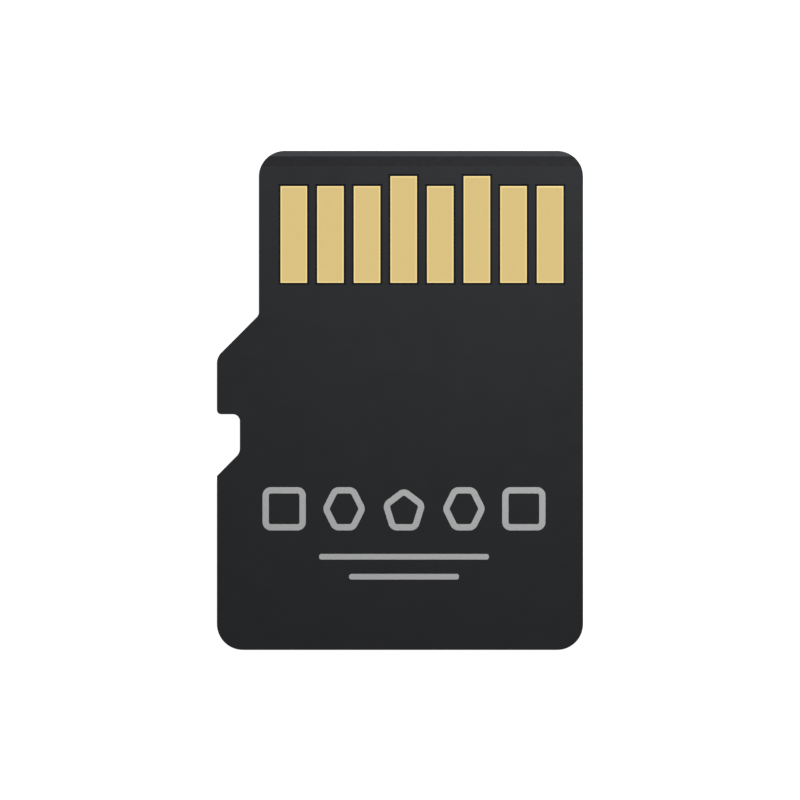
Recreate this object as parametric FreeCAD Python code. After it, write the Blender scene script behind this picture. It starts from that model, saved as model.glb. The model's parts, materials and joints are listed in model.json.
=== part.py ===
# A removable flash memory card of the smallest common format, 11 x 15 x 1 mm.
# It lies with its contacts up: seen from the contact side, +X is to the right and +Y points to the
# insertion edge, and +Z points out of the contact side. The origin is the middle of the card's
# outline, at the level of the finger lip's lowest face. All sizes are in millimetres.
import FreeCAD, Part
import math
import os

from FreeCAD import Vector

# Card outline, seen from the contact side
CARD_WIDTH = 11.0
CARD_LENGTH = 15.0
NARROW_WIDTH = 9.74
SHOULDER_START = 4.94
NOTCH_START = 7.92
NOTCH_FLOOR = 1.16
NOTCH_DEPTH = 0.69
CORNER_RADIUS = 0.78
SHOULDER_INNER_RADIUS = 0.20
SHOULDER_OUTER_RADIUS = 0.40
NOTCH_MOUTH_RADIUS = 0.13
NOTCH_CATCH_RADIUS = 0.21
NOTCH_RAMP_RADIUS = 0.30

# Thickness of the card and of its layers
BODY_THICKNESS = 0.70
LIP_THICKNESS = 1.00
MASK_THICKNESS = 0.025
BOARD_THICKNESS = 0.155

# Insertion edge: a shallow ramp ground through the board, then a steep nose
RAMP_LENGTH = 0.304
NOSE_LENGTH = 0.168
NOSE_DROP = 0.168

# Finger lip across the rear of the label side
LIP_LENGTH = 1.84
LIP_CURVE_RADIUS = 30.0
LIP_WALL_RUN = 0.15
LIP_EDGE_RADIUS = 0.08
LABEL_EDGE_BREAK = 0.04

# Contacts, in order from the notch side
CONTACT_NAMES = ["data2", "data3", "command", "supply", "clock", "ground", "data0", "data1"]
POWER_CONTACTS = ["supply", "ground"]
CONTACT_PITCH = 1.10
CONTACT_ROW_SHIFT = 0.03
CONTACT_WIDTH = 0.81
CONTACT_START = 1.06
CONTACT_LENGTH = 2.92
POWER_CONTACT_LEAD = 0.30
CONTACT_THICKNESS = 0.022
CONTACT_EDGE = 0.006
WINDOW_GAP = 0.04

# Flash dies, stacked as a staircase with their bond pads on the front ledges
FLASH_COUNT = 4
FLASH_WIDTH = 9.0
FLASH_LENGTH = 6.9
FLASH_THICKNESS = 0.06
FLASH_FILM = 0.01
FLASH_STEP = 0.25
FLASH_CENTRE_X = 0.2
FLASH_FRONT_Y = 0.9
FLASH_WIRE_COLUMNS = 12
FLASH_WIRE_PITCH = 0.65

# Controller die, beside the stack and under the contacts
CONTROLLER_WIDTH = 3.2
CONTROLLER_LENGTH = 2.6
CONTROLLER_THICKNESS = 0.10
CONTROLLER_FILM = 0.015
CONTROLLER_CENTRE = (1.2, 3.95)
CONTROLLER_SIDE_WIRES = 6
CONTROLLER_FRONT_WIRES = 8
CONTROLLER_WIRE_PITCH = 0.34

# Bond wires, drawn with a square section as wide as the round wire
WIRE_SIZE = 0.025
WIRE_RISE = 0.06
PAD_INSET = 0.08
LANDING_INSET = 0.16
FINGER_REACH = 0.40
FINGER_WIDTH = 0.09
FINGER_LENGTH = 0.24
INNER_COPPER = 0.012

# Ceramic capacitors
CAPACITOR_LENGTH = 0.60
CAPACITOR_WIDTH = 0.30
CAPACITOR_HEIGHT = 0.28
TERMINAL_LENGTH = 0.15
TERMINAL_PROUD = 0.008
CAPACITOR_EDGE = 0.02
CAPACITOR_ROWS_Y = [3.2, 4.6]
CAPACITOR_COLUMNS_X = [-2.6, 4.4]

# Levels and edges that follow from the sizes above
RIGHT = CARD_WIDTH / 2
LEFT = -RIGHT
FRONT = CARD_LENGTH / 2
REAR = -FRONT
NARROW_LEFT = RIGHT - NARROW_WIDTH
NARROW_CENTRE = (NARROW_LEFT + RIGHT) / 2
LABEL_Z = LIP_THICKNESS - BODY_THICKNESS
CONTACT_FACE_Z = LIP_THICKNESS
BOARD_TOP_Z = CONTACT_FACE_Z - MASK_THICKNESS
BOARD_INNER_Z = BOARD_TOP_Z - BOARD_THICKNESS
FLASH_LAYER = FLASH_THICKNESS + FLASH_FILM
CLEAR = 1.0


def rounded_outline(corners):
    """A closed wire through (x, y, radius) corners, each with a tangent arc unless its radius is 0."""
    points = [Vector(x, y, 0) for x, y, _ in corners]
    bends = []
    for index, (_, _, radius) in enumerate(corners):
        corner = points[index]
        to_last = (points[index - 1] - corner).normalize()
        to_next = (points[(index + 1) % len(points)] - corner).normalize()
        half_angle = to_last.getAngle(to_next) / 2
        reach = radius / math.tan(half_angle)
        crown = (to_last + to_next).normalize() * (radius / math.sin(half_angle) - radius)
        bends.append((corner + to_last * reach, corner + crown, corner + to_next * reach))
    edges = []
    for index, (entry, crown, leave) in enumerate(bends):
        next_entry = bends[(index + 1) % len(bends)][0]
        if corners[index][2] > 0:
            edges.append(Part.Arc(entry, crown, leave).toShape())
        edges.append(Part.LineSegment(leave, next_entry).toShape())
    return Part.Wire(edges)


def card_outline():
    """The card's outline, anticlockwise from its rear right corner, with shoulder and notch on the left."""
    shoulder_y = FRONT - SHOULDER_START
    shoulder_drop = NARROW_LEFT - LEFT
    notch_y = FRONT - NOTCH_START
    ramp_y = notch_y - NOTCH_FLOOR
    notch_x = LEFT + NOTCH_DEPTH
    return rounded_outline([
        (RIGHT, REAR, CORNER_RADIUS),
        (RIGHT, FRONT, CORNER_RADIUS),
        (NARROW_LEFT, FRONT, CORNER_RADIUS),
        (NARROW_LEFT, shoulder_y, SHOULDER_INNER_RADIUS),
        (LEFT, shoulder_y - shoulder_drop, SHOULDER_OUTER_RADIUS),
        (LEFT, notch_y, NOTCH_MOUTH_RADIUS),
        (notch_x, notch_y, NOTCH_CATCH_RADIUS),
        (notch_x, ramp_y, NOTCH_RAMP_RADIUS),
        (LEFT, ramp_y - NOTCH_DEPTH, 0),
        (LEFT, REAR, CORNER_RADIUS),
    ])


def card_layer(low_z, high_z):
    """A slice of the card's outline between two levels."""
    layer = Part.Face(card_outline()).extrude(Vector(0, 0, high_z - low_z))
    return layer.translated(Vector(0, 0, low_z))


def block(centre_x, centre_y, width, length, low_z, high_z):
    """An upright box given by the middle of its plan, its plan size and its two levels."""
    corner = Vector(centre_x - width / 2, centre_y - length / 2, low_z)
    return Part.makeBox(width, length, high_z - low_z, corner)


def inner_block(centre_x, centre_y, width, length, height, start=0.0):
    """A box on the board's inner face, from start to start + height away from the board."""
    high_z = BOARD_INNER_Z - start
    return block(centre_x, centre_y, width, length, high_z - height, high_z)


def insertion_bevel():
    """The wedge that is missing from the insertion edge, wider than the card."""
    ramp_drop = MASK_THICKNESS + BOARD_THICKNESS
    nose_y = FRONT - NOSE_LENGTH
    profile = [
        (nose_y - RAMP_LENGTH, CONTACT_FACE_Z),
        (nose_y, CONTACT_FACE_Z - ramp_drop),
        (FRONT, CONTACT_FACE_Z - ramp_drop - NOSE_DROP),
        (FRONT + CLEAR, CONTACT_FACE_Z - ramp_drop - NOSE_DROP),
        (FRONT + CLEAR, CONTACT_FACE_Z + CLEAR),
        (nose_y - RAMP_LENGTH, CONTACT_FACE_Z + CLEAR),
    ]
    points = [Vector(-CARD_WIDTH, y, z) for y, z in profile]
    wedge = Part.Face(Part.makePolygon(points + points[:1]))
    return wedge.extrude(Vector(2 * CARD_WIDTH, 0, 0))


def contact_places():
    """(name, middle x, rear y, length) of each contact, from the notch side to the right."""
    rear_y = FRONT - CONTACT_START - CONTACT_LENGTH
    row_x = NARROW_CENTRE + CONTACT_ROW_SHIFT
    first_x = row_x - CONTACT_PITCH * (len(CONTACT_NAMES) - 1) / 2
    places = []
    for index, name in enumerate(CONTACT_NAMES):
        length = CONTACT_LENGTH + (POWER_CONTACT_LEAD if name in POWER_CONTACTS else 0)
        places.append((name, first_x + CONTACT_PITCH * index, rear_y, length))
    return places


def contact(middle_x, rear_y, length):
    """One plated contact on the board, with its upper rim broken."""
    top_z = BOARD_TOP_Z + CONTACT_THICKNESS
    pad = block(middle_x, rear_y + length / 2, CONTACT_WIDTH, length, BOARD_TOP_Z, top_z)
    rim = [edge for edge in pad.Edges if edge.BoundBox.ZMin > top_z - CONTACT_THICKNESS / 2]
    return pad.makeChamfer(CONTACT_EDGE, rim)


def solder_mask():
    """The black film on the contact side, open around each contact."""
    mask = card_layer(BOARD_TOP_Z, CONTACT_FACE_Z).cut(insertion_bevel())
    for _, middle_x, rear_y, length in contact_places():
        window = block(
            middle_x,
            rear_y + length / 2,
            CONTACT_WIDTH + 2 * WINDOW_GAP,
            length + 2 * WINDOW_GAP,
            BOARD_TOP_Z - CLEAR,
            CONTACT_FACE_Z + CLEAR,
        )
        mask = mask.cut(window)
    return mask


def board():
    """The laminate board, as large as the card, with the ramp ground through its front edge."""
    return card_layer(BOARD_INNER_Z, BOARD_TOP_Z).cut(insertion_bevel())


def flash_front(level):
    """The front edge of a flash die, counted from 1 at the board: each one is set back by a step."""
    return FLASH_FRONT_Y - FLASH_STEP * (level - 1)


def flash_layer(level, height, start):
    """A flash die's plan at its level of the staircase."""
    middle_y = flash_front(level) - FLASH_LENGTH / 2
    base = FLASH_LAYER * (level - 1)
    return inner_block(FLASH_CENTRE_X, middle_y, FLASH_WIDTH, FLASH_LENGTH, height, base + start)


def line_crossing(point, along, other, other_along):
    """Where two lines in a plane cross, each given by a point and a direction."""
    cross = along[0] * other_along[1] - along[1] * other_along[0]
    gap = (other[0] - point[0], other[1] - point[1])
    share = (gap[0] * other_along[1] - gap[1] * other_along[0]) / cross
    return (point[0] + along[0] * share, point[1] + along[1] * share)


def ribbon(path, thickness):
    """The outline of a band along (run, height) points, mitred at its bends and seated level at both ends."""
    lines = []
    for (run_a, height_a), (run_b, height_b) in zip(path, path[1:]):
        size = math.hypot(run_b - run_a, height_b - height_a)
        lines.append(((run_a, height_a), ((run_b - run_a) / size, (height_b - height_a) / size)))
    level = (1.0, 0.0)
    sides = []
    for side in (thickness / 2, -thickness / 2):
        moved = [((p[0] - d[1] * side, p[1] + d[0] * side), d) for p, d in lines]
        rows = [line_crossing(*moved[0], path[0], level)]
        rows += [line_crossing(*a, *b) for a, b in zip(moved, moved[1:])]
        rows.append(line_crossing(*moved[-1], path[-1], level))
        sides.append(rows)
    return sides[0] + sides[1][::-1]


def bond_wire(start, end, start_height, end_height, rise, over):
    """A wire that rises from a pad, runs level for over, and lands on a lower pad. Heights: from the board."""
    run = math.dist(start, end)
    path = [(0, start_height), (0, start_height + rise), (over, start_height + rise), (run, end_height)]
    along = Vector((end[0] - start[0]) / run, (end[1] - start[1]) / run, 0)
    across = along.cross(Vector(0, 0, 1)) * WIRE_SIZE
    foot = Vector(start[0], start[1], BOARD_INNER_Z) - across / 2
    outline = [foot + along * reach - Vector(0, 0, height) for reach, height in ribbon(path, WIRE_SIZE)]
    return Part.Face(Part.makePolygon(outline + outline[:1])).extrude(across)


def flash_wire_columns():
    """The x of each row of wires that comes down the staircase."""
    first_x = FLASH_CENTRE_X - FLASH_WIRE_PITCH * (FLASH_WIRE_COLUMNS - 1) / 2
    return [first_x + FLASH_WIRE_PITCH * index for index in range(FLASH_WIRE_COLUMNS)]


def flash_wires():
    """Wires from ledge to ledge down the staircase, and from the first die to its finger on the board."""
    wires = []
    for x in flash_wire_columns():
        for level in range(FLASH_COUNT, 1, -1):
            start = (x, flash_front(level) - PAD_INSET)
            end = (x, flash_front(level - 1) - LANDING_INSET)
            height = FLASH_LAYER * level
            over = PAD_INSET + WIRE_SIZE / 2
            wires.append(bond_wire(start, end, height, height - FLASH_LAYER, WIRE_RISE, over))
        start = (x, flash_front(1) - PAD_INSET)
        end = (x, flash_front(1) + FINGER_REACH)
        wires.append(bond_wire(start, end, FLASH_LAYER, INNER_COPPER, WIRE_RISE, 2 * PAD_INSET))
    return wires


def controller_bonds():
    """(pad, finger) plan points of the controller's wires: its two sides, then its front and its rear."""
    middle_x, middle_y = CONTROLLER_CENTRE
    half_width, half_length = CONTROLLER_WIDTH / 2, CONTROLLER_LENGTH / 2
    bonds = []
    for side in (-1, 1):
        for index in range(CONTROLLER_SIDE_WIRES):
            y = middle_y + CONTROLLER_WIRE_PITCH * (index - (CONTROLLER_SIDE_WIRES - 1) / 2)
            pad_x = middle_x + side * (half_width - PAD_INSET)
            bonds.append(((pad_x, y), (middle_x + side * (half_width + FINGER_REACH), y)))
        for index in range(CONTROLLER_FRONT_WIRES):
            x = middle_x + CONTROLLER_WIRE_PITCH * (index - (CONTROLLER_FRONT_WIRES - 1) / 2)
            pad_y = middle_y + side * (half_length - PAD_INSET)
            bonds.append(((x, pad_y), (x, middle_y + side * (half_length + FINGER_REACH))))
    return bonds


def controller_wires():
    """Wires from the controller's four edges to its fingers on the board."""
    height = CONTROLLER_FILM + CONTROLLER_THICKNESS
    over = 2 * PAD_INSET
    return [bond_wire(*bond, height, INNER_COPPER, WIRE_RISE, over) for bond in controller_bonds()]


def bond_fingers():
    """Copper fingers on the board's inner face, one under the foot of each wire that comes down there."""
    fingers = []
    for x in flash_wire_columns():
        y = flash_front(1) + FINGER_REACH
        fingers.append(inner_block(x, y, FINGER_WIDTH, FINGER_LENGTH, INNER_COPPER))
    for pad, finger in controller_bonds():
        lies_across = abs(finger[0] - pad[0]) > abs(finger[1] - pad[1])
        size = (FINGER_LENGTH, FINGER_WIDTH) if lies_across else (FINGER_WIDTH, FINGER_LENGTH)
        fingers.append(inner_block(*finger, *size, INNER_COPPER))
    return fingers


def capacitor_places():
    """The middle of each capacitor on the board."""
    return [(x, y) for x in CAPACITOR_COLUMNS_X for y in CAPACITOR_ROWS_Y]


def terminal_blocks(x, y, height, start):
    """The two ends of a capacitor, or what lies under them."""
    ends = []
    for side in (-1, 1):
        end_x = x + side * (CAPACITOR_LENGTH - TERMINAL_LENGTH) / 2
        ends.append(inner_block(end_x, y, TERMINAL_LENGTH, CAPACITOR_WIDTH, height, start))
    return ends


def capacitor(x, y):
    """A ceramic chip with a plated cap on each end, which stands a little proud and has its edges broken."""
    caps = [
        end.makeChamfer(CAPACITOR_EDGE, end.Edges)
        for end in terminal_blocks(x, y, CAPACITOR_HEIGHT, INNER_COPPER)
    ]
    chip_length = CAPACITOR_LENGTH - TERMINAL_LENGTH
    chip_width = CAPACITOR_WIDTH - 2 * TERMINAL_PROUD
    chip_height = CAPACITOR_HEIGHT - 2 * TERMINAL_PROUD
    chip = inner_block(x, y, chip_length, chip_width, chip_height, INNER_COPPER + TERMINAL_PROUD)
    return chip.fuse(caps).removeSplitter()


def capacitor_lands():
    """Copper lands under the ends of the capacitors."""
    lands = []
    for x, y in capacitor_places():
        lands += terminal_blocks(x, y, INNER_COPPER, 0)
    return lands


def edges_below(shape, z):
    """The edges of a shape that lie below a level all along."""
    return [edge for edge in shape.Edges if edge.BoundBox.ZMax < z]


def finger_lip():
    """The raised strip across the rear of the label side, whose curved front wall leans back."""
    top_z = LABEL_Z + LABEL_EDGE_BREAK
    axis_foot = Vector(0, REAR + LIP_LENGTH - LIP_CURVE_RADIUS, 0)
    top_radius = LIP_CURVE_RADIUS + LIP_WALL_RUN * top_z / LABEL_Z
    return card_layer(0, top_z).common(Part.makeCone(LIP_CURVE_RADIUS, top_radius, top_z, axis_foot))


def moulded_body(inner_pieces):
    """The moulded epoxy: a slab with its label rim broken and the lip, cast around the pieces on the board."""
    slab = card_layer(LABEL_Z, BOARD_INNER_Z)
    slab = slab.makeChamfer(LABEL_EDGE_BREAK, edges_below(slab, LABEL_Z + LABEL_EDGE_BREAK))
    body = slab.fuse(finger_lip()).removeSplitter()
    body = body.makeFillet(LIP_EDGE_RADIUS, edges_below(body, LABEL_Z / 2))
    return body.cut(insertion_bevel()).cut(inner_pieces)


def build():
    """Every node of the card, by name: one shape, or a list of separate solids."""
    inner = {
        "controller_attach_film": inner_block(
            *CONTROLLER_CENTRE, CONTROLLER_WIDTH, CONTROLLER_LENGTH, CONTROLLER_FILM
        ),
        "controller_die": inner_block(
            *CONTROLLER_CENTRE, CONTROLLER_WIDTH, CONTROLLER_LENGTH, CONTROLLER_THICKNESS, CONTROLLER_FILM
        ),
        "bond_fingers": bond_fingers(),
        "capacitor_lands": capacitor_lands(),
        "flash_bond_wires": flash_wires(),
        "controller_bond_wires": controller_wires(),
    }
    for level in range(1, FLASH_COUNT + 1):
        inner[f"flash_attach_film_{level}"] = flash_layer(level, FLASH_FILM, 0)
        inner[f"flash_die_{level}"] = flash_layer(level, FLASH_THICKNESS, FLASH_FILM)
    for number, place in enumerate(capacitor_places(), start=1):
        inner[f"capacitor_{number}"] = capacitor(*place)
    solids = []
    for shape in inner.values():
        solids += shape if isinstance(shape, list) else [shape]
    nodes = {"moulded_body": moulded_body(solids), "board": board(), "solder_mask": solder_mask()}
    for number, (name, *place) in enumerate(contact_places(), start=1):
        nodes[f"contact_{number}_{name}"] = contact(*place)
    return {**nodes, **inner}


def main():
    os.makedirs("parts", exist_ok=True)
    for name, shape in build().items():
        whole = Part.makeCompound(shape) if isinstance(shape, list) else shape
        whole.exportStep(f"parts/{name}.step")
        print(f"{name}: {len(whole.Solids)} solids, {whole.Volume:.4f} mm3, valid {whole.isValid()}")


main()
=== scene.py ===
# %% [markdown]
# A thin memory card lies on a pale table with its gold contacts up. It is a sandwich: black moulded
# epoxy below, a laminate board on it, a film of black mask on the board, and gold contacts in windows
# of that film. The frame holds each piece at its real size. This lesson rebuilds the pieces that show,
# with finer rounds than the frame has, and gives every piece a finish made of nodes. Blender counts in
# metres and the card is measured in tenths of a millimetre, so a named unit keeps the numbers readable.

# %% Load the frame
import json
import math

import bmesh
import bpy
from mathutils import Matrix, Vector


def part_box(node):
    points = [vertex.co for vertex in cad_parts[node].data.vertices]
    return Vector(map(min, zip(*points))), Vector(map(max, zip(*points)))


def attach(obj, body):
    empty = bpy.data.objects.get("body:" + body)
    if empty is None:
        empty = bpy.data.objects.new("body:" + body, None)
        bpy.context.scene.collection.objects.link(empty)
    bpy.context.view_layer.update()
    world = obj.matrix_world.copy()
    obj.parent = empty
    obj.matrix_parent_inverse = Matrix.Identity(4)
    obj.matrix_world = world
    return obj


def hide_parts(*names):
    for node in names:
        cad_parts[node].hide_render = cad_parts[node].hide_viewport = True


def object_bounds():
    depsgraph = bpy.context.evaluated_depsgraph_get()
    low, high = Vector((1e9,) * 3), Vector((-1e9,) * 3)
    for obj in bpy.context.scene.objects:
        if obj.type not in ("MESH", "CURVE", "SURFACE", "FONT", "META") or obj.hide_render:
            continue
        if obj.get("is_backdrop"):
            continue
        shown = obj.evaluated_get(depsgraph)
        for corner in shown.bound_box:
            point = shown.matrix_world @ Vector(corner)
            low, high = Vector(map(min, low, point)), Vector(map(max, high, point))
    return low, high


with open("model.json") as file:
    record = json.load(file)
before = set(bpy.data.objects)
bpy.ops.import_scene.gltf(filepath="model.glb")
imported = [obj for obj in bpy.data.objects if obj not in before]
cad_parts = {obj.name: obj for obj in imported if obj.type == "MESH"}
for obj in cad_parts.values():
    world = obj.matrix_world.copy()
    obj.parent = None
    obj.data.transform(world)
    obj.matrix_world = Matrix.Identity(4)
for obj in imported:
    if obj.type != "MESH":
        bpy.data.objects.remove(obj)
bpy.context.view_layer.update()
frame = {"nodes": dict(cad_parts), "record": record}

MM = 0.001

# %% [markdown]
# A new piece has to stand exactly where the one it replaces stood. Its levels and edges could be typed
# in once more, but copies drift apart, so they are read from the frame's own boxes. Only the step from
# the lip up to the label side is a number here, because no box ends at that level.

# %% Levels and edges
LABEL_STEP = 0.30 * MM
body_low, body_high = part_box("moulded_body")
board_low, board_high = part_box("board")
mask_low, mask_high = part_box("solder_mask")
LEFT, REAR = body_low.x, body_low.y
RIGHT, FRONT = body_high.x, body_high.y
LIP_Z = body_low.z
LABEL_Z = LIP_Z + LABEL_STEP
levels = [LIP_Z, LABEL_Z, board_low.z, mask_low.z, mask_high.z]
print("levels in millimetres:", [round(z / MM, 3) for z in levels])

# %% [markdown]
# The outline has ten corners. A slanted shoulder on the left makes the front narrower, and behind it a
# notch with one square and one slanted side gives a socket's latch something to hold. The outline could
# be a long list of points along its arcs, but a list of sharp corners with a radius each is the
# shortest true description, and leaves the rounding to Blender.

# %% The outline's corners
NARROW_WIDTH = 9.74 * MM
FRONT_TO_SHOULDER = 4.94 * MM
FRONT_TO_NOTCH = 7.92 * MM
NOTCH_FLOOR = 1.16 * MM
NOTCH_DEPTH = 0.69 * MM
CORNER_ROUND = 0.78 * MM
SHOULDER_FRONT_ROUND = 0.20 * MM
SHOULDER_REAR_ROUND = 0.40 * MM
NOTCH_MOUTH_ROUND = 0.13 * MM
NOTCH_FRONT_ROUND = 0.21 * MM
NOTCH_REAR_ROUND = 0.30 * MM
SHARP = 0
narrow_x = RIGHT - NARROW_WIDTH
notch_x = LEFT + NOTCH_DEPTH
shoulder_y = FRONT - FRONT_TO_SHOULDER
notch_y = FRONT - FRONT_TO_NOTCH
CARD_CORNERS = [
    (RIGHT, REAR, CORNER_ROUND),
    (RIGHT, FRONT, CORNER_ROUND),
    (narrow_x, FRONT, CORNER_ROUND),
    (narrow_x, shoulder_y, SHOULDER_FRONT_ROUND),
    (LEFT, shoulder_y - (narrow_x - LEFT), SHOULDER_REAR_ROUND),
    (LEFT, notch_y, NOTCH_MOUTH_ROUND),
    (notch_x, notch_y, NOTCH_FRONT_ROUND),
    (notch_x, notch_y - NOTCH_FLOOR, NOTCH_REAR_ROUND),
    (LEFT, notch_y - NOTCH_FLOOR - NOTCH_DEPTH, SHARP),
    (LEFT, REAR, CORNER_ROUND),
]
print("the outline has", len(CARD_CORNERS), "corners")

# %% [markdown]
# To round a corner of a flat sheet, a vertex bevel cuts it off and bends the cut into an arc. Points on
# the arc could be worked out by hand, but the bevel only wants to know how far along the edges the cut
# starts. An arc of a given radius touches them at the radius divided by the tangent of half the
# corner's angle.

# %% Rounding a corner
ROUND_SEGMENTS = 14


def round_corner(bm, corner, radius):
    """Rounds one corner of a flat outline."""
    before, after = [edge.other_vert(corner).co - corner.co for edge in corner.link_edges]
    reach = radius / math.tan(before.angle(after) / 2)
    bmesh.ops.bevel(
        bm, geom=[corner], offset=reach, offset_type="OFFSET", segments=ROUND_SEGMENTS,
        profile=0.5, affect="VERTICES", material=-1,
    )


print("a rounded corner has", ROUND_SEGMENTS, "steps")

# %% [markdown]
# Each layer of the card is a flat sheet of the outline, raised to a thickness. The sheet is drawn with
# sharp corners first: a loop of edges, one face that fills it, and then each corner rounded by its own
# radius. The bevel changes the rim of the face that is there, so nothing is left to fill.

# %% A flat sheet of the outline
def outline_loop(bm, corners, z):
    """Draws a closed loop of edges through the corners and returns its vertices."""
    loop = [bm.verts.new((x, y, z)) for x, y, _ in corners]
    for index, vert in enumerate(loop):
        bm.edges.new((loop[index - 1], vert))
    return loop


def round_loop(bm, loop, corners):
    """Rounds the vertices of a loop, each by its corner's radius."""
    for vert, (_, _, radius) in zip(loop, corners):
        if radius != SHARP:
            round_corner(bm, vert, radius)


def card_sheet(z):
    """A flat sheet with the card's outline at height z."""
    bm = bmesh.new()
    loop = outline_loop(bm, CARD_CORNERS, z)
    bmesh.ops.edgenet_fill(bm, edges=bm.edges[:])
    round_loop(bm, loop, CARD_CORNERS)
    return bm


sample = card_sheet(LABEL_Z)
print("the rounded sheet has", len(sample.verts), "points")
sample.free()

# %% [markdown]
# The body is moulded in one shot: a flat label side and, across its rear, a finger lip whose front edge
# is a long arc. The lip's wall leans, so that the part leaves its mould, and its root on the label side
# lies further forward than its foot. The root's arc is worked out first, because the flat sheet is
# split along it. Its far centre and its radius say all that is needed.

# %% The lip's arc
LIP_LENGTH = 1.84 * MM
LIP_CURVE_RADIUS = 30 * MM
LIP_WALL_RUN = 0.15 * MM
LIP_ROOT_RADIUS = LIP_CURVE_RADIUS + LIP_WALL_RUN
arc_centre = Vector((0, REAR + LIP_LENGTH - LIP_CURVE_RADIUS, LABEL_Z))
half_angle = math.asin(RIGHT / LIP_ROOT_RADIUS)
arc_end_y = arc_centre.y + LIP_ROOT_RADIUS * math.cos(half_angle)
print("the lip's arc turns by degrees:", round(math.degrees(2 * half_angle), 2))

# %% [markdown]
# A lip that is made apart and joined on would leave a seam in the skin. Instead the sheet is split
# along the arc into two faces, label and lip, that share its edges. Spinning the point at the arc's left
# end about the far centre draws the arc, and its last point is welded to the right end.

# %% The split sheet
ARC_STEPS = 48
TOUCH = 0.0001 * MM


def split_sheet():
    """The card's sheet on the label level, split along the lip's arc into label and lip."""
    bm = bmesh.new()
    right_end = (RIGHT, arc_end_y, SHARP)
    left_end = (LEFT, arc_end_y, SHARP)
    corners = [right_end, *CARD_CORNERS[1:-1], left_end, CARD_CORNERS[-1], CARD_CORNERS[0]]
    loop = outline_loop(bm, corners, LABEL_Z)
    outer = bm.edges[:]
    rear = [edge for edge in outer if all(vert.co.y < arc_end_y + TOUCH for vert in edge.verts)]
    front = [edge for edge in outer if edge not in rear]
    bmesh.ops.spin(
        bm, geom=[loop[corners.index(left_end)]], cent=arc_centre, axis=(0, 0, 1),
        angle=-2 * half_angle, steps=ARC_STEPS, use_duplicate=False,
    )
    last = max((vert for vert in bm.verts if vert not in loop), key=lambda vert: vert.co.x)
    bmesh.ops.weld_verts(bm, targetmap={last: loop[corners.index(right_end)]})
    arc = [edge for edge in bm.edges if edge not in outer]
    bmesh.ops.contextual_create(bm, geom=rear + arc)
    bmesh.ops.contextual_create(bm, geom=front + arc)
    round_loop(bm, loop, corners)
    return bm


body = split_sheet()
print("faces in the split sheet:", len(body.faces))

# %% [markdown]
# Raising the whole sheet to the board's level gives the body its thickness, and the line that the arc
# leaves on the upper side is dissolved there. Pushing the lip's face down then gives the lip. Extruding
# faces leaves the first ones behind: below a slab they are its floor, but inside one they are deleted.

# %% Thickness and lip
FLAT_ANGLE = math.radians(0.1)


def raise_faces(bm, faces, height, keep=True):
    """Extrudes faces upwards, or down if height is negative, and returns the faces that moved."""
    grown = bmesh.ops.extrude_face_region(bm, geom=faces, use_keep_orig=True)["geom"]
    moved = [item for item in grown if isinstance(item, bmesh.types.BMVert)]
    bmesh.ops.translate(bm, verts=moved, vec=(0, 0, height))
    if not keep:
        bmesh.ops.delete(bm, geom=faces, context="FACES")
    return [item for item in grown if isinstance(item, bmesh.types.BMFace)]


def at_level(items, z):
    """The edges or faces of a mesh that lie in one level."""
    return [item for item in items if all(abs(vert.co.z - z) < TOUCH for vert in item.verts)]


raise_faces(body, body.faces[:], board_low.z - LABEL_Z)
upper_edges = at_level(body.edges, board_low.z)
bmesh.ops.dissolve_limit(body, angle_limit=FLAT_ANGLE, verts=[], edges=upper_edges)
lip_face = min(at_level(body.faces, LABEL_Z), key=lambda face: face.calc_center_median().y)
lip_floor = raise_faces(body, [lip_face], LIP_Z - LABEL_Z, keep=False)[0]
print("points round the lip's floor:", len(lip_floor.verts))

# %% [markdown]
# The lip's wall still stands upright. Its lower row of points is the part of the lip's floor that lies
# on the arc, and moving that row back makes the wall lean. A draft could also come from scaling the
# floor, but that would draw in the card's sides as well.

# %% The leaning wall
wall_foot = [
    vert for vert in lip_floor.verts
    if abs((vert.co.xy - arc_centre.xy).length - LIP_ROOT_RADIUS) < TOUCH
]
bmesh.ops.translate(body, verts=wall_foot, vec=(0, -LIP_WALL_RUN, 0))
body.normal_update()
lean = math.atan2(LIP_WALL_RUN, LABEL_STEP)
print("points that moved back:", len(wall_foot), "lean in degrees:", round(math.degrees(lean), 1))

# %% [markdown]
# A moulded part has no knife edges, because resin doesn't fill them, so the rims of the lip and of the
# label side get small rounds. A Bevel modifier would round every sharp edge alike. An edge bevel on
# chosen edges leaves two sharp: the upper rim, where the board lies on it, and the root of the lip's wall.

# %% The rounded rims
LIP_EDGE_ROUND = 0.08 * MM
LABEL_EDGE_ROUND = 0.04 * MM
RIM_SEGMENTS = 5
UPRIGHT = 0.0001


def round_edges(bm, edges, radius):
    """Rounds edges with an arc of the given radius."""
    bmesh.ops.bevel(
        bm, geom=edges, offset=radius, offset_type="OFFSET", segments=RIM_SEGMENTS,
        profile=0.5, affect="EDGES", material=-1,
    )


round_edges(body, at_level(body.edges, LIP_Z), LIP_EDGE_ROUND)
label = max(at_level(body.faces, LABEL_Z), key=lambda face: face.calc_area())
walls = {face for face in body.faces if abs(face.normal.z) < UPRIGHT}
label_rim = [edge for edge in label.edges if walls.intersection(edge.link_faces)]
round_edges(body, label_rim, LABEL_EDGE_ROUND)
print("faces after the rims are rounded:", len(body.faces))

# %% [markdown]
# The insertion edge is ground off in two flats, so that the card slides under a socket's springs: a
# shallow ramp through the film and the board, then a steep nose in the epoxy. They meet in a line where
# the board lies on the epoxy. A bisecting plane through that line cuts any layer in the same way, and
# one flat face fills the open cut. Ground faces are marked for the second finish of their piece.

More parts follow.
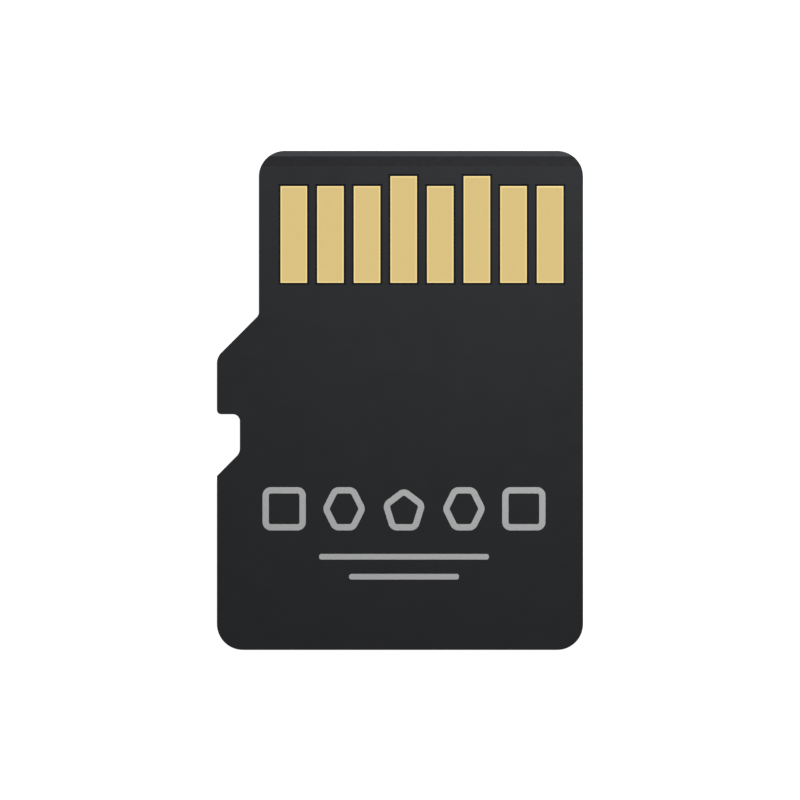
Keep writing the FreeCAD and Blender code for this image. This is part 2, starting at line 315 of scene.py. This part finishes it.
# %% The ground nose
NOSE_LENGTH = 0.168 * MM
NOSE_NORMAL = Vector((0, 1, 1)).normalized()
GROUND_LINE = Vector((0, FRONT - NOSE_LENGTH, board_low.z))
GROUND_FINISH = 1
CUT_TOUCH = 0.000001 * MM


def grind(bm, normal):
    """Cuts away what stands in front of a plane through the ground line, and closes the cut."""
    everything = bm.verts[:] + bm.edges[:] + bm.faces[:]
    bmesh.ops.bisect_plane(
        bm, geom=everything, dist=CUT_TOUCH, plane_co=GROUND_LINE, plane_no=normal, clear_outer=True,
    )
    rim = [edge for edge in bm.edges if edge.is_boundary]
    for face in bmesh.ops.holes_fill(bm, edges=rim, sides=0)["faces"]:
        face.material_index = GROUND_FINISH


grind(body, NOSE_NORMAL)
ground = [face for face in body.faces if face.material_index == GROUND_FINISH]
print("ground faces on the nose:", len(ground))

# %% [markdown]
# The dies, wires and capacitors are sealed in the epoxy under the board, and the frame's solid has
# their exact cavity. It shows from no side, so here a plain pocket of two joined rectangles leaves
# them room. A Boolean cut would do too, but slicing the flat upper side along a few lines and pushing
# the tiles inside the rectangles down keeps every face clean.

# %% The pocket under the board
POCKET_X = [-4.40 * MM, -3.50 * MM, 4.85 * MM]
POCKET_Y = [-6.85 * MM, 1.00 * MM, 5.95 * MM]
POCKETS = [(POCKET_X[0], POCKET_X[2], *POCKET_Y[:2]), (*POCKET_X[1:], *POCKET_Y[1:])]
POCKET_DEPTH = 0.37 * MM


def slice_faces(bm, faces, normal, places):
    """Cuts flat faces along lines across a direction, and returns the faces they became."""
    for place in places:
        parts = {part for face in faces for part in (face, *face.edges, *face.verts)}
        cut = bmesh.ops.bisect_plane(
            bm, geom=list(parts), dist=CUT_TOUCH, plane_co=normal * place, plane_no=normal,
        )
        faces = [item for item in cut["geom"] if isinstance(item, bmesh.types.BMFace)]
    return faces


def inside(face, boxes):
    """True if the middle of a face lies in one of the boxes, each given as x0, x1, y0, y1."""
    middle = face.calc_center_bounds()
    return any(x0 < middle.x < x1 and y0 < middle.y < y1 for x0, x1, y0, y1 in boxes)


ALONG_X = Vector((1, 0, 0))
ALONG_Y = Vector((0, 1, 0))
tiles = slice_faces(body, at_level(body.faces, board_low.z), ALONG_X, POCKET_X)
tiles = slice_faces(body, tiles, ALONG_Y, POCKET_Y)
pocket = [tile for tile in tiles if inside(tile, POCKETS)]
print("tiles of the upper side:", len(tiles), "pushed down:", len(pocket))
raise_faces(body, pocket, -POCKET_DEPTH, keep=False)

# %% [markdown]
# No surface of the card is one flat colour. Images could carry the grain, but noise made by nodes is
# sharp at any distance and needs no unwrapping. Every finish therefore starts alike: a Principled
# shader and Object coordinates, which count in metres from the card's middle. A noise texture with a
# scale of 1 / size makes specks of about that size.

# %% A finish and its specks
NOISE_ROUGHNESS = 0.6


def new_finish(name):
    """A material, its node tree, its shader and an Object coordinate to start from."""
    finish = bpy.data.materials.new(name)
    finish.use_nodes = True
    tree = finish.node_tree
    place = tree.nodes.new("ShaderNodeTexCoord").outputs["Object"]
    return finish, tree, tree.nodes["Principled BSDF"], place


def specks(tree, place, size, detail=3):
    """Noise with specks of about the given size."""
    noise = tree.nodes.new("ShaderNodeTexNoise")
    noise.inputs["Scale"].default_value = 1 / size
    noise.inputs["Detail"].default_value = detail
    noise.inputs["Roughness"].default_value = NOISE_ROUGHNESS
    tree.links.new(place, noise.inputs["Vector"])
    return noise.outputs["Fac"]


print("roughness of the specks:", NOISE_ROUGHNESS)

# %% [markdown]
# Noise seldom leaves its middle range, so a finish spreads that range over what it needs: two tones of
# a colour, two values of roughness, or a small height that the bump node turns into relief. Each is one
# node between the specks and the shader.

# %% From specks to colour, gloss and relief
NOISE_LOW = 0.3
NOISE_HIGH = 0.7


def ramp_colour(tree, factor, socket, dark, light):
    """Drives a colour socket from dark to light as the factor goes through its middle range."""
    ramp = tree.nodes.new("ShaderNodeValToRGB")
    first, last = ramp.color_ramp.elements
    first.position = NOISE_LOW
    first.color = (*dark, 1)
    last.position = NOISE_HIGH
    last.color = (*light, 1)
    tree.links.new(factor, ramp.inputs["Fac"])
    tree.links.new(ramp.outputs["Color"], socket)


def ramp_value(tree, factor, socket, low, high):
    """Drives a number socket from low to high as the factor goes through its middle range."""
    spread = tree.nodes.new("ShaderNodeMapRange")
    spread.inputs["From Min"].default_value = NOISE_LOW
    spread.inputs["From Max"].default_value = NOISE_HIGH
    spread.inputs["To Min"].default_value = low
    spread.inputs["To Max"].default_value = high
    tree.links.new(factor, spread.inputs["Value"])
    tree.links.new(spread.outputs["Result"], socket)


def bump(tree, shader, factor, depth):
    """Raises the surface by the factor times a depth."""
    node = tree.nodes.new("ShaderNodeBump")
    node.inputs["Distance"].default_value = depth
    tree.links.new(factor, node.inputs["Height"])
    tree.links.new(node.outputs["Normal"], shader.inputs["Normal"])


print("the middle range of the specks:", NOISE_LOW, "to", NOISE_HIGH)

# %% [markdown]
# The black epoxy is full of ground silica, which shows as a faint grey grain, and the mould leaves a
# fine matte skin on it. Where it is ground, the silica lies open and the surface is rougher. Two sizes
# of noise do that: a broad one drifts the gloss, a fine one makes the grain and a shallow bump.

# %% Epoxy finishes
EPOXY_GRAIN = 0.05 * MM
EPOXY_PATCH = 0.6 * MM
EPOXY_RELIEF = 0.002 * MM
EPOXY_SPECULAR = 0.12


def epoxy(name, dark, light, rough):
    """Black epoxy whose grain goes from a dark to a light grey."""
    finish, tree, shader, place = new_finish(name)
    grain = specks(tree, place, EPOXY_GRAIN, detail=4)
    patches = specks(tree, place, EPOXY_PATCH)
    ramp_colour(tree, grain, shader.inputs["Base Color"], dark, light)
    ramp_value(tree, patches, shader.inputs["Roughness"], *rough)
    shader.inputs["Specular IOR Level"].default_value = EPOXY_SPECULAR
    bump(tree, shader, grain, EPOXY_RELIEF)
    return finish


moulded_epoxy = epoxy(
    "moulded_epoxy", dark=(0.0110, 0.0110, 0.0120), light=(0.0150, 0.0150, 0.0163), rough=(0.45, 0.54),
)
ground_epoxy = epoxy(
    "ground_epoxy", dark=(0.0086, 0.0090, 0.0105), light=(0.0114, 0.0120, 0.0138), rough=(0.55, 0.70),
)
print("epoxy finishes:", moulded_epoxy.name, ground_epoxy.name)

# %% [markdown]
# A mesh becomes a piece of the card when it rides on the frame's one body, and the frame's nodes that it
# stands for are hidden. Flat shading would show each round as facets, and smooth shading alone would smear
# the corners.
# So faces are smooth except across edges that turn sharply, and weighted normals keep the large flat
# faces flat beside their narrow rounds. The body is the first piece.

# %% From mesh to piece
SHARP_ANGLE = math.radians(25)


def make_piece(bm, name, finishes, slot, *nodes, sharp=SHARP_ANGLE):
    """Makes a mesh a named piece that stands for the given nodes of the frame."""
    bmesh.ops.recalc_face_normals(bm, faces=bm.faces[:])
    for face in bm.faces:
        face.smooth = True
    for edge in bm.edges:
        edge.smooth = edge.calc_face_angle(math.pi) < sharp
    open_edges = sum(not edge.is_manifold for edge in bm.edges)
    mesh = bpy.data.meshes.new(name)
    bm.to_mesh(mesh)
    bm.free()
    for finish in finishes:
        mesh.materials.append(finish)
    piece = bpy.data.objects.new(name, mesh)
    bpy.context.scene.collection.objects.link(piece)
    weighted = piece.modifiers.new("weighted_normals", "WEIGHTED_NORMAL")
    weighted.keep_sharp = True
    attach(piece, "root")
    if nodes:
        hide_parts(*nodes)
    print(name, "has", len(mesh.polygons), "faces and", open_edges, "open edges")


make_piece(body, "card_body", [moulded_epoxy, ground_epoxy], "mould_compound", "moulded_body")

# %% [markdown]
# The board is glass cloth in dark resin. It shows as a thin line around each contact, along its cut
# edge, and on the ramp, where grinding lays the cloth open as fine streaks along the card's width. A
# wave texture would give even stripes. Noise that is drawn out along one axis gives uneven ones.

# %% Laminate finishes
CLOTH_STREAK = 0.03 * MM
CLOTH_STRETCH = (0.12, 1, 1)
CLOTH_RELIEF = 0.001 * MM
LAMINATE_PATCH = 0.2 * MM
LAMINATE_SPECULAR = 0.04


def stretched(tree, place, stretch):
    """The place times a factor on each axis: a small factor draws a pattern out along its axis."""
    mapping = tree.nodes.new("ShaderNodeMapping")
    mapping.inputs["Scale"].default_value = stretch
    tree.links.new(place, mapping.inputs["Vector"])
    return mapping.outputs["Vector"]


def laminate(name, dark, light):
    """Dark laminate with streaks of cloth along the card's width."""
    finish, tree, shader, place = new_finish(name)
    streaks = specks(tree, stretched(tree, place, CLOTH_STRETCH), CLOTH_STREAK, detail=2)
    patches = specks(tree, place, LAMINATE_PATCH)
    ramp_colour(tree, streaks, shader.inputs["Base Color"], dark, light)
    ramp_value(tree, patches, shader.inputs["Roughness"], low=0.6, high=0.75)
    shader.inputs["Specular IOR Level"].default_value = LAMINATE_SPECULAR
    bump(tree, shader, streaks, CLOTH_RELIEF)
    return finish


bare_laminate = laminate("bare_laminate", dark=(0.0022, 0.0031, 0.0052), light=(0.0030, 0.0041, 0.0067))
ground_laminate = laminate("ground_laminate", dark=(0.0050, 0.0048, 0.0052), light=(0.0064, 0.0062, 0.0067))
print("laminate finishes:", bare_laminate.name, ground_laminate.name)

# %% [markdown]
# The board is as large as the card, so it is the outline's sheet with a thickness. Its front is ground
# to the ramp, a plane from the line above the nose up to the film's surface. The plane's normal comes
# from that rise and the ramp's length, and the film will be cut by the same plane.

# %% The board
RAMP_LENGTH = 0.304 * MM
RAMP_NORMAL = Vector((0, mask_high.z - board_low.z, RAMP_LENGTH)).normalized()
board = card_sheet(board_low.z)
raise_faces(board, board.faces[:], board_high.z - board_low.z)
grind(board, RAMP_NORMAL)
make_piece(board, "card_board", [bare_laminate, ground_laminate], "laminate", "board")
print("ramp angle in degrees:", round(math.degrees(RAMP_NORMAL.angle(Vector((0, 0, 1)))), 1))

# %% [markdown]
# The mask is a black film a fortieth of a millimetre thick. It dries with a satin skin that is never
# quite even, so its gloss drifts over a few millimetres, and a fine orange-peel bump breaks up what it
# reflects. A clear coat over black would look wet, so the film has one rough layer with little shine.

# %% Mask finish
MASK_MOTTLE = 0.9 * MM
MASK_PATCH = 2.5 * MM
MASK_PEEL = 0.04 * MM
MASK_RELIEF = 0.0005 * MM
MASK_SPECULAR = 0.06


def mask_film():
    """Black satin film."""
    finish, tree, shader, place = new_finish("mask_film")
    mottle = specks(tree, place, MASK_MOTTLE, detail=5)
    patches = specks(tree, place, MASK_PATCH)
    peel = specks(tree, place, MASK_PEEL, detail=2)
    tone = shader.inputs["Base Color"]
    ramp_colour(tree, mottle, tone, dark=(0.0080, 0.0080, 0.0087), light=(0.0090, 0.0090, 0.0098))
    ramp_value(tree, patches, shader.inputs["Roughness"], low=0.64, high=0.72)
    shader.inputs["Specular IOR Level"].default_value = MASK_SPECULAR
    bump(tree, shader, peel, MASK_RELIEF)
    return finish


black_film = mask_film()
print(black_film.name, "has", len(black_film.node_tree.nodes), "nodes")

# %% [markdown]
# The film is open around each contact, a little wider than the contact on every side. The frame's
# boxes say where the contacts are, and its record says which nodes they are, so no place is typed in.

# %% The windows
WINDOW_GAP = 0.052 * MM


def nodes_with(slot):
    """The names of the frame's nodes that have this material slot."""
    return [part["node"] for part in frame["record"]["subparts"] if part["material_slot"] == slot]


contact_nodes = nodes_with("contact_gold")
windows = []
for node in contact_nodes:
    low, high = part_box(node)
    windows.append((low.x - WINDOW_GAP, high.x + WINDOW_GAP, low.y - WINDOW_GAP, high.y + WINDOW_GAP))
print("windows in the film:", len(windows))

# %% [markdown]
# Boolean cuts would open the windows, but the pocket's way works here too: the flat sheet is sliced
# along the window edges, like a pane cut into tiles, and the tiles inside a window are deleted. The
# leftover lines between tiles are dissolved before the sheet gets its thickness. Most windows end at
# the same places along the card, so equal places are cut only once.

# %% The film
TILE_ANGLE = math.radians(0.5)
DIGITS = 8
window_x = [x for window in windows for x in window[:2]]
window_y = sorted({round(y, DIGITS) for window in windows for y in window[2:]})
film = card_sheet(mask_low.z)
tiles = slice_faces(film, film.faces[:], ALONG_Y, window_y)
tiles = slice_faces(film, tiles, ALONG_X, window_x)
bmesh.ops.delete(film, geom=[tile for tile in tiles if inside(tile, windows)], context="FACES")
bmesh.ops.dissolve_limit(film, angle_limit=TILE_ANGLE, verts=film.verts[:], edges=film.edges[:])
raise_faces(film, film.faces[:], mask_high.z - mask_low.z)
grind(film, RAMP_NORMAL)
make_piece(film, "card_mask", [black_film, ground_laminate], "solder_mask", "solder_mask")

# %% [markdown]
# The contacts are plated gold over nickel. Plating is a little rough, and a socket's springs wipe it
# along the card, so fine streaks run that way. A yellow plastic would never look like metal: gold's
# colour lives in its base colour with metallic at 1, and the streaks vary only roughness and bump.

# %% Gold finish
GOLD_GRAIN = 0.25 * MM
WIPE_STREAK = 0.02 * MM
WIPE_STRETCH = (1, 0.06, 1)
WIPE_RELIEF = 0.0001 * MM


def gold_plate():
    """Plated gold, wiped along the card."""
    finish, tree, shader, place = new_finish("gold_plate")
    wipe = specks(tree, stretched(tree, place, WIPE_STRETCH), WIPE_STREAK, detail=2)
    grain = specks(tree, place, GOLD_GRAIN, detail=4)
    tone = shader.inputs["Base Color"]
    ramp_colour(tree, grain, tone, dark=(0.965, 0.735, 0.305), light=(0.980, 0.748, 0.312))
    ramp_value(tree, wipe, shader.inputs["Roughness"], low=0.08, high=0.11)
    shader.inputs["Metallic"].default_value = 1
    bump(tree, shader, wipe, WIPE_RELIEF)
    return finish


gold = gold_plate()
print(gold.name, "has", len(gold.node_tree.nodes), "nodes")

# %% [markdown]
# Each plate is etched, so its sides lean in a little, and the plating leaves a sloping rim on top that
# catches light as a thin bright line. A cube narrowed at its top and then inset gives both, and the rim
# is shaded sharp so that its slope shows. Two of the eight reach further forward, so that supply and
# ground touch first. The frame has each plate's box, so one function makes them all.

# %% The contacts
ETCH_LEAN = 0.008 * MM
RIM_WIDTH = 0.036 * MM
RIM_DROP = 0.0070 * MM
RIM_SHARP = math.radians(8)


def plate_between(low, high):
    """A plate between two corners: its sides lean in and its top slopes down along the rim."""
    bm = bmesh.new()
    bmesh.ops.create_cube(bm, size=1)
    side = high - low - Vector((0, 0, RIM_DROP))
    narrowing = Vector((1 - 2 * ETCH_LEAN / side.x, 1 - 2 * ETCH_LEAN / side.y, 1))
    bmesh.ops.scale(bm, verts=bm.verts[:], vec=side)
    top = max(bm.faces, key=lambda face: face.calc_center_median().z)
    bmesh.ops.scale(bm, verts=top.verts[:], vec=narrowing)
    bmesh.ops.translate(bm, verts=bm.verts[:], vec=low + side / 2)
    bmesh.ops.inset_region(bm, faces=[top], thickness=RIM_WIDTH, depth=RIM_DROP, use_even_offset=True)
    return bm


for number, node in enumerate(contact_nodes, start=1):
    plate = plate_between(*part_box(node))
    make_piece(plate, f"contact_plate_{number}", [gold], "contact_gold", node, sharp=RIM_SHARP)

# %% [markdown]
# The lower third of the film carries a plain ornament in pale ink: a row of five outlines with two
# rules below it. Ink covers a film unevenly, so its tone and gloss drift over a few hundredths of a
# millimetre. It could be painted by the film's own finish, but ink lies on top of what it covers, so
# each mark is a thin piece of its own.

# %% Ink finish
INK_COVER = 0.05 * MM
INK_RELIEF = 0.001 * MM


def pale_ink():
    """Pale grey ink with an uneven cover."""
    finish, tree, shader, place = new_finish("pale_ink")
    cover = specks(tree, place, INK_COVER)
    tone = shader.inputs["Base Color"]
    ramp_colour(tree, cover, tone, dark=(0.155, 0.152, 0.150), light=(0.195, 0.191, 0.188))
    ramp_value(tree, cover, shader.inputs["Roughness"], low=0.55, high=0.7)
    bump(tree, shader, cover, INK_RELIEF)
    return finish


ink = pale_ink()
print(ink.name, "has", len(ink.node_tree.nodes), "nodes")

# %% [markdown]
# A mark starts as a circle with few sides, which is a polygon. Turned, centred and scaled, it fills
# its place exactly, whatever its number of sides, and the sheet's own helper rounds its corners. An
# inset then makes the stroke of an outline, and the middle is taken out.

# %% Flat shapes for the ink
STROKE = 0.19 * MM


def flat_shape(bm, centre, width, height, sides, turn, radius):
    """A polygon on the film, turned, scaled to a width and a height, its corners rounded."""
    matrix = Matrix.Rotation(math.radians(turn), 4, "Z")
    made = bmesh.ops.create_circle(bm, cap_ends=True, segments=sides, radius=1, matrix=matrix)["verts"]
    xs = [vert.co.x for vert in made]
    ys = [vert.co.y for vert in made]
    middle = Vector((min(xs) + max(xs), min(ys) + max(ys), 0)) / 2
    fit = Vector((width / (max(xs) - min(xs)), height / (max(ys) - min(ys)), 1))
    bmesh.ops.translate(bm, verts=made, vec=-middle)
    bmesh.ops.scale(bm, verts=made, vec=fit)
    bmesh.ops.translate(bm, verts=made, vec=(*centre, mask_high.z))
    for vert in made:
        round_corner(bm, vert, radius)


def take_out_middle(bm):
    """Leaves a rim of the stroke's width of a flat shape."""
    bmesh.ops.inset_individual(bm, faces=bm.faces[:], thickness=STROKE, use_even_offset=True)
    middle = [face for face in bm.faces if all(len(edge.link_faces) == 2 for edge in face.edges)]
    bmesh.ops.delete(bm, geom=middle, context="FACES")


print("stroke of the outlines in millimetres:", STROKE / MM)

# %% [markdown]
# The outlines stand at one pitch and the same ones flank the middle, so the row reads as ornament
# whichever way the card is held. A list of sides and turns describes it, and extruding by a few
# thousandths of a millimetre gives the ink its thickness.

# %% The printed row
INK_THICKNESS = 0.004 * MM
PRINT_X = 0.12 * MM
ROW_Y = -3.26 * MM
MARK_SIZE = 1.30 * MM
MARK_PITCH = 1.80 * MM
MARK_ROUND = 0.25 * MM
SQUARE = (4, 45)
HEXAGON = (6, 30)
PENTAGON = (5, 0)
ROW = [SQUARE, HEXAGON, PENTAGON, HEXAGON, SQUARE]
for index, (sides, turn) in enumerate(ROW):
    mark = bmesh.new()
    x = PRINT_X + MARK_PITCH * (index - len(ROW) // 2)
    flat_shape(mark, (x, ROW_Y), MARK_SIZE, MARK_SIZE, sides, turn, MARK_ROUND)
    take_out_middle(mark)
    raise_faces(mark, mark.faces[:], INK_THICKNESS)
    make_piece(mark, f"print_outline_{index + 1}", [ink], "solder_mask")

# %% [markdown]
# The two rules could be curves with a width, but the square drawn out to a long bar, with nearly round
# ends, needs no new helper.

# %% The printed rules
RULE_WIDTH = 0.17 * MM
RULE_ROUND = 0.07 * MM
RULE_ROWS = [-4.70 * MM, -5.30 * MM]
RULE_LENGTHS = [5.1 * MM, 3.3 * MM]
for number, (y, length) in enumerate(zip(RULE_ROWS, RULE_LENGTHS), start=1):
    rule = bmesh.new()
    flat_shape(rule, (PRINT_X, y), length, RULE_WIDTH, *SQUARE, RULE_ROUND)
    raise_faces(rule, rule.faces[:], INK_THICKNESS)
    make_piece(rule, f"print_rule_{number}", [ink], "solder_mask")

# %% [markdown]
# The pieces sealed inside the epoxy keep their frame meshes, whose shapes are right, and get finishes of
# their own, so that the card still reads right when someone takes it apart: ground silicon, amber film
# under each die, ceramic capacitors, and gold on copper. One function serves them all, because they
# differ only in tones, size of grain, gloss and whether they are metal.

# %% Inner finishes
RELIEF_SHARE = 1 / 200


def speckled(name, dark, light, size, rough, metallic=0):
    """A finish whose tone and gloss drift between two values."""
    finish, tree, shader, place = new_finish(name)
    factor = specks(tree, place, size, detail=4)
    ramp_colour(tree, factor, shader.inputs["Base Color"], dark, light)
    ramp_value(tree, factor, shader.inputs["Roughness"], *rough)
    shader.inputs["Metallic"].default_value = metallic
    bump(tree, shader, factor, size * RELIEF_SHARE)
    return finish


silicon = speckled(
    "ground_silicon", dark=(0.05, 0.055, 0.07), light=(0.09, 0.095, 0.115), size=0.3 * MM, rough=(0.12, 0.25),
)
amber_film = speckled(
    "amber_film", dark=(0.42, 0.30, 0.12), light=(0.55, 0.41, 0.18), size=0.2 * MM, rough=(0.4, 0.55),
)
copper = speckled(
    "flashed_copper", dark=(0.85, 0.55, 0.24), light=(0.95, 0.66, 0.30), size=0.05 * MM, rough=(0.2, 0.35),
    metallic=1,
)
wire = speckled(
    "drawn_gold", dark=(0.95, 0.70, 0.28), light=(1.0, 0.77, 0.34), size=0.03 * MM, rough=(0.12, 0.22),
    metallic=1,
)
ceramic = speckled(
    "fired_ceramic", dark=(0.26, 0.18, 0.12), light=(0.36, 0.26, 0.18), size=0.05 * MM, rough=(0.3, 0.5),
)
print("inner finishes:", [finish.name for finish in (silicon, amber_film, copper, wire, ceramic)])

# %% [markdown]
# A chip capacitor is brown ceramic with a tinned cap on each end, yet each is one node with one finish.
# The finish can tell the ends by place: Math nodes work out how far a point lies from the middle of
# its capacitor, along the card's width, and beyond a limit brown gives way to metal. The capacitors
# stand in two columns, so wrapping the place at the columns' spacing serves all of them.

# %% Tinned ends
TIN_FROM = 0.15 * MM
TIN_GREY = (0.62, 0.62, 0.60, 1)
boxes = [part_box(node) for node in nodes_with("capacitor")]
middles = sorted({round((low.x + high.x) / 2, DIGITS) for low, high in boxes})
spacing = middles[1] - middles[0]


def tin_ends(finish):
    """Gives a brown finish metal ends, further than TIN_FROM from each capacitor's middle."""
    tree = finish.node_tree
    shader = tree.nodes["Principled BSDF"]
    brown = shader.inputs["Base Color"].links[0].from_socket
    place = tree.nodes.new("ShaderNodeSeparateXYZ")
    tree.links.new(tree.nodes["Texture Coordinate"].outputs["Object"], place.inputs["Vector"])
    value = place.outputs["X"]
    steps = [
        ("SUBTRACT", middles[0]),
        ("WRAP", spacing / 2, -spacing / 2),
        ("ABSOLUTE",),
        ("GREATER_THAN", TIN_FROM),
    ]
    for operation, *numbers in steps:
        step = tree.nodes.new("ShaderNodeMath")
        step.operation = operation
        tree.links.new(value, step.inputs[0])
        for socket, number in zip(step.inputs[1:], numbers):
            socket.default_value = number
        value = step.outputs["Value"]
    tin = tree.nodes.new("ShaderNodeMix")
    tin.data_type = "RGBA"
    tin.inputs["B"].default_value = TIN_GREY
    tree.links.new(brown, tin.inputs["A"])
    tree.links.new(value, tin.inputs["Factor"])
    tree.links.new(tin.outputs["Result"], shader.inputs["Base Color"])
    tree.links.new(value, shader.inputs["Metallic"])


tin_ends(ceramic)
print("columns of capacitors stand apart by millimetres:", round(spacing / MM, 3))

# %% [markdown]
# A node of the frame takes a new finish through its material list, and its mesh isn't touched. The
# record names a material slot for each node, so a short table from slot to finish dresses them all.

# %% Finishes for the sealed pieces
inner_finishes = {
    "silicon": silicon,
    "attach_film": amber_film,
    "capacitor": ceramic,
    "inner_copper": copper,
    "bond_wire": wire,
}
for slot, finish in inner_finishes.items():
    for node in nodes_with(slot):
        materials = frame["nodes"][node].data.materials
        materials.clear()
        materials.append(finish)
    print(finish.name, "is on", len(nodes_with(slot)), "nodes")

# %% [markdown]
# The table is white and lit from within, like a photographer's light table, so that hardly a shadow
# shows. A white surface alone would turn grey beside the lamp's fall-off. Emission close to 1 with a
# dark, slightly uneven base keeps it white and still lets the card leave a faint trace.

# %% Table finish
TABLE_DRIFT = 30 * MM
TABLE_ROUGHNESS = 0.8
TABLE_GLOW = 0.96


def white_table():
    """A table top that glows white."""
    finish, tree, shader, place = new_finish("white_table")
    drift = specks(tree, place, TABLE_DRIFT)
    tone = shader.inputs["Base Color"]
    ramp_colour(tree, drift, tone, dark=(0.11, 0.11, 0.11), light=(0.13, 0.13, 0.13))
    shader.inputs["Roughness"].default_value = TABLE_ROUGHNESS
    shader.inputs["Emission Color"].default_value = (1, 1, 1, 1)
    shader.inputs["Emission Strength"].default_value = TABLE_GLOW
    return finish


table_finish = white_table()
print(table_finish.name, "glows with a strength of", TABLE_GLOW)

# %% [markdown]
# A card with a lip on its under side doesn't lie level: it rests on the lip and on the lower rim of
# its front edge. Tilting the card would take it out of the frame, so the table is tilted instead. It
# is drawn through those two lines, about a degree out of level, so that the card touches it as the real
# one would.

# %% The table
TABLE_SIZE = 400 * MM
rest_rear_y = REAR + LIP_LENGTH - LIP_EDGE_ROUND
rest_front_y = FRONT - LABEL_EDGE_ROUND
tilt = math.atan2(LABEL_STEP, rest_front_y - rest_rear_y)
table_z = LIP_Z - rest_rear_y * math.tan(tilt)
top = bmesh.new()
bmesh.ops.create_grid(top, x_segments=1, y_segments=1, size=TABLE_SIZE / 2)
bmesh.ops.rotate(top, verts=top.verts[:], matrix=Matrix.Rotation(tilt, 3, "X"))
bmesh.ops.translate(top, verts=top.verts[:], vec=(0, 0, table_z))
table_mesh = bpy.data.meshes.new("table")
top.to_mesh(table_mesh)
top.free()
table_mesh.materials.append(table_finish)
table = bpy.data.objects.new("table", table_mesh)
bpy.context.scene.collection.objects.link(table)
table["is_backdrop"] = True
print("the table tilts by degrees:", round(math.degrees(tilt), 2))

# %% [markdown]
# The room is what the gold mirrors. Seen from above, the flat of a contact mirrors the ceiling, and its
# sloping rim mirrors a ring lower down, so the room's light depends on height: a ramp from the horizon
# to the ceiling, with a brighter ring that lights the rims. Studio panels would do the same, but would
# show as patches.

# %% The room
ROOM_BY_HEIGHT = [
    (0.0, 1.0), (0.10, 1.0), (0.22, 0.6), (0.45, 0.8), (0.62, 0.5),
    (0.80, 0.5), (0.88, 0.98), (0.95, 0.98), (0.99, 0.725),
]
world = bpy.data.worlds.new("white_room")
world.use_nodes = True
room = world.node_tree
toward = room.nodes.new("ShaderNodeTexCoord")
upward = room.nodes.new("ShaderNodeSeparateXYZ")
light_by_height = room.nodes.new("ShaderNodeValToRGB")
stops = light_by_height.color_ramp.elements
for height, _ in ROOM_BY_HEIGHT[len(stops):]:
    stops.new(height)
for stop, (height, light) in zip(stops, ROOM_BY_HEIGHT):
    stop.position = height
    stop.color = (light, light, light, 1)
room.links.new(toward.outputs["Generated"], upward.inputs["Vector"])
room.links.new(upward.outputs["Z"], light_by_height.inputs["Fac"])
room.links.new(light_by_height.outputs["Color"], room.nodes["Background"].inputs["Color"])
bpy.context.scene.world = world
print("stops of light from the horizon to the ceiling:", len(stops))

# %% [markdown]
# One soft lamp stands beyond the insertion edge, a little to the right, and looks at the card's middle.
# A sun would light the whole face alike. A lamp this close gives the near end more light than the far
# end, and turns the steep nose bright. It is kept small, because the front rims of the contacts catch
# the near side of a wider one and glitter.

# %% The lamp
LAMP_PLACE = Vector((9.6 * MM, 25.5 * MM, 26 * MM))
LAMP_SIZE = 6 * MM
LAMP_POWER = 0.0297
LAMP_COLOUR = (0.96, 1.0, 1.02)
lamp_data = bpy.data.lights.new("soft_lamp", "AREA")
lamp_data.size = LAMP_SIZE
lamp_data.energy = LAMP_POWER
lamp_data.color = LAMP_COLOUR
lamp = bpy.data.objects.new("soft_lamp", lamp_data)
lamp.location = LAMP_PLACE
lamp.rotation_euler = (-LAMP_PLACE).to_track_quat("-Z", "Y").to_euler()
lamp.visible_camera = False
bpy.context.scene.collection.objects.link(lamp)
print("lamp distance in millimetres:", round(LAMP_PLACE.length / MM, 1))

# %% [markdown]
# The picture looks straight down with the insertion edge up. A flat, orthographic camera would lose all
# depth in other views. A long lens from well above keeps the card's sides out of sight as well, and the
# width of the view at the card's face sets the scale.

# %% The camera
VIEW_WIDTH = 24.03 * MM
CAMERA_HEIGHT = 400 * MM
CAMERA_Y = 0.008 * MM
camera_data = bpy.data.cameras.new("camera")
camera_data.lens = camera_data.sensor_width * CAMERA_HEIGHT / VIEW_WIDTH
camera = bpy.data.objects.new("camera", camera_data)
camera.location = (0, CAMERA_Y, mask_high.z + CAMERA_HEIGHT)
bpy.context.scene.collection.objects.link(camera)
bpy.context.scene.camera = camera
bpy.context.scene.view_settings.view_transform = "Standard"
print("lens in millimetres:", round(camera_data.lens))

# %% [markdown]
# Last, the size of the dressed card is printed. Only the ink stands proud of the frame's size, by its
# own thickness.

# %% Sizes and finish
low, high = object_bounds()
print("dressed size in millimetres:", [round(side / MM, 3) for side in high - low])
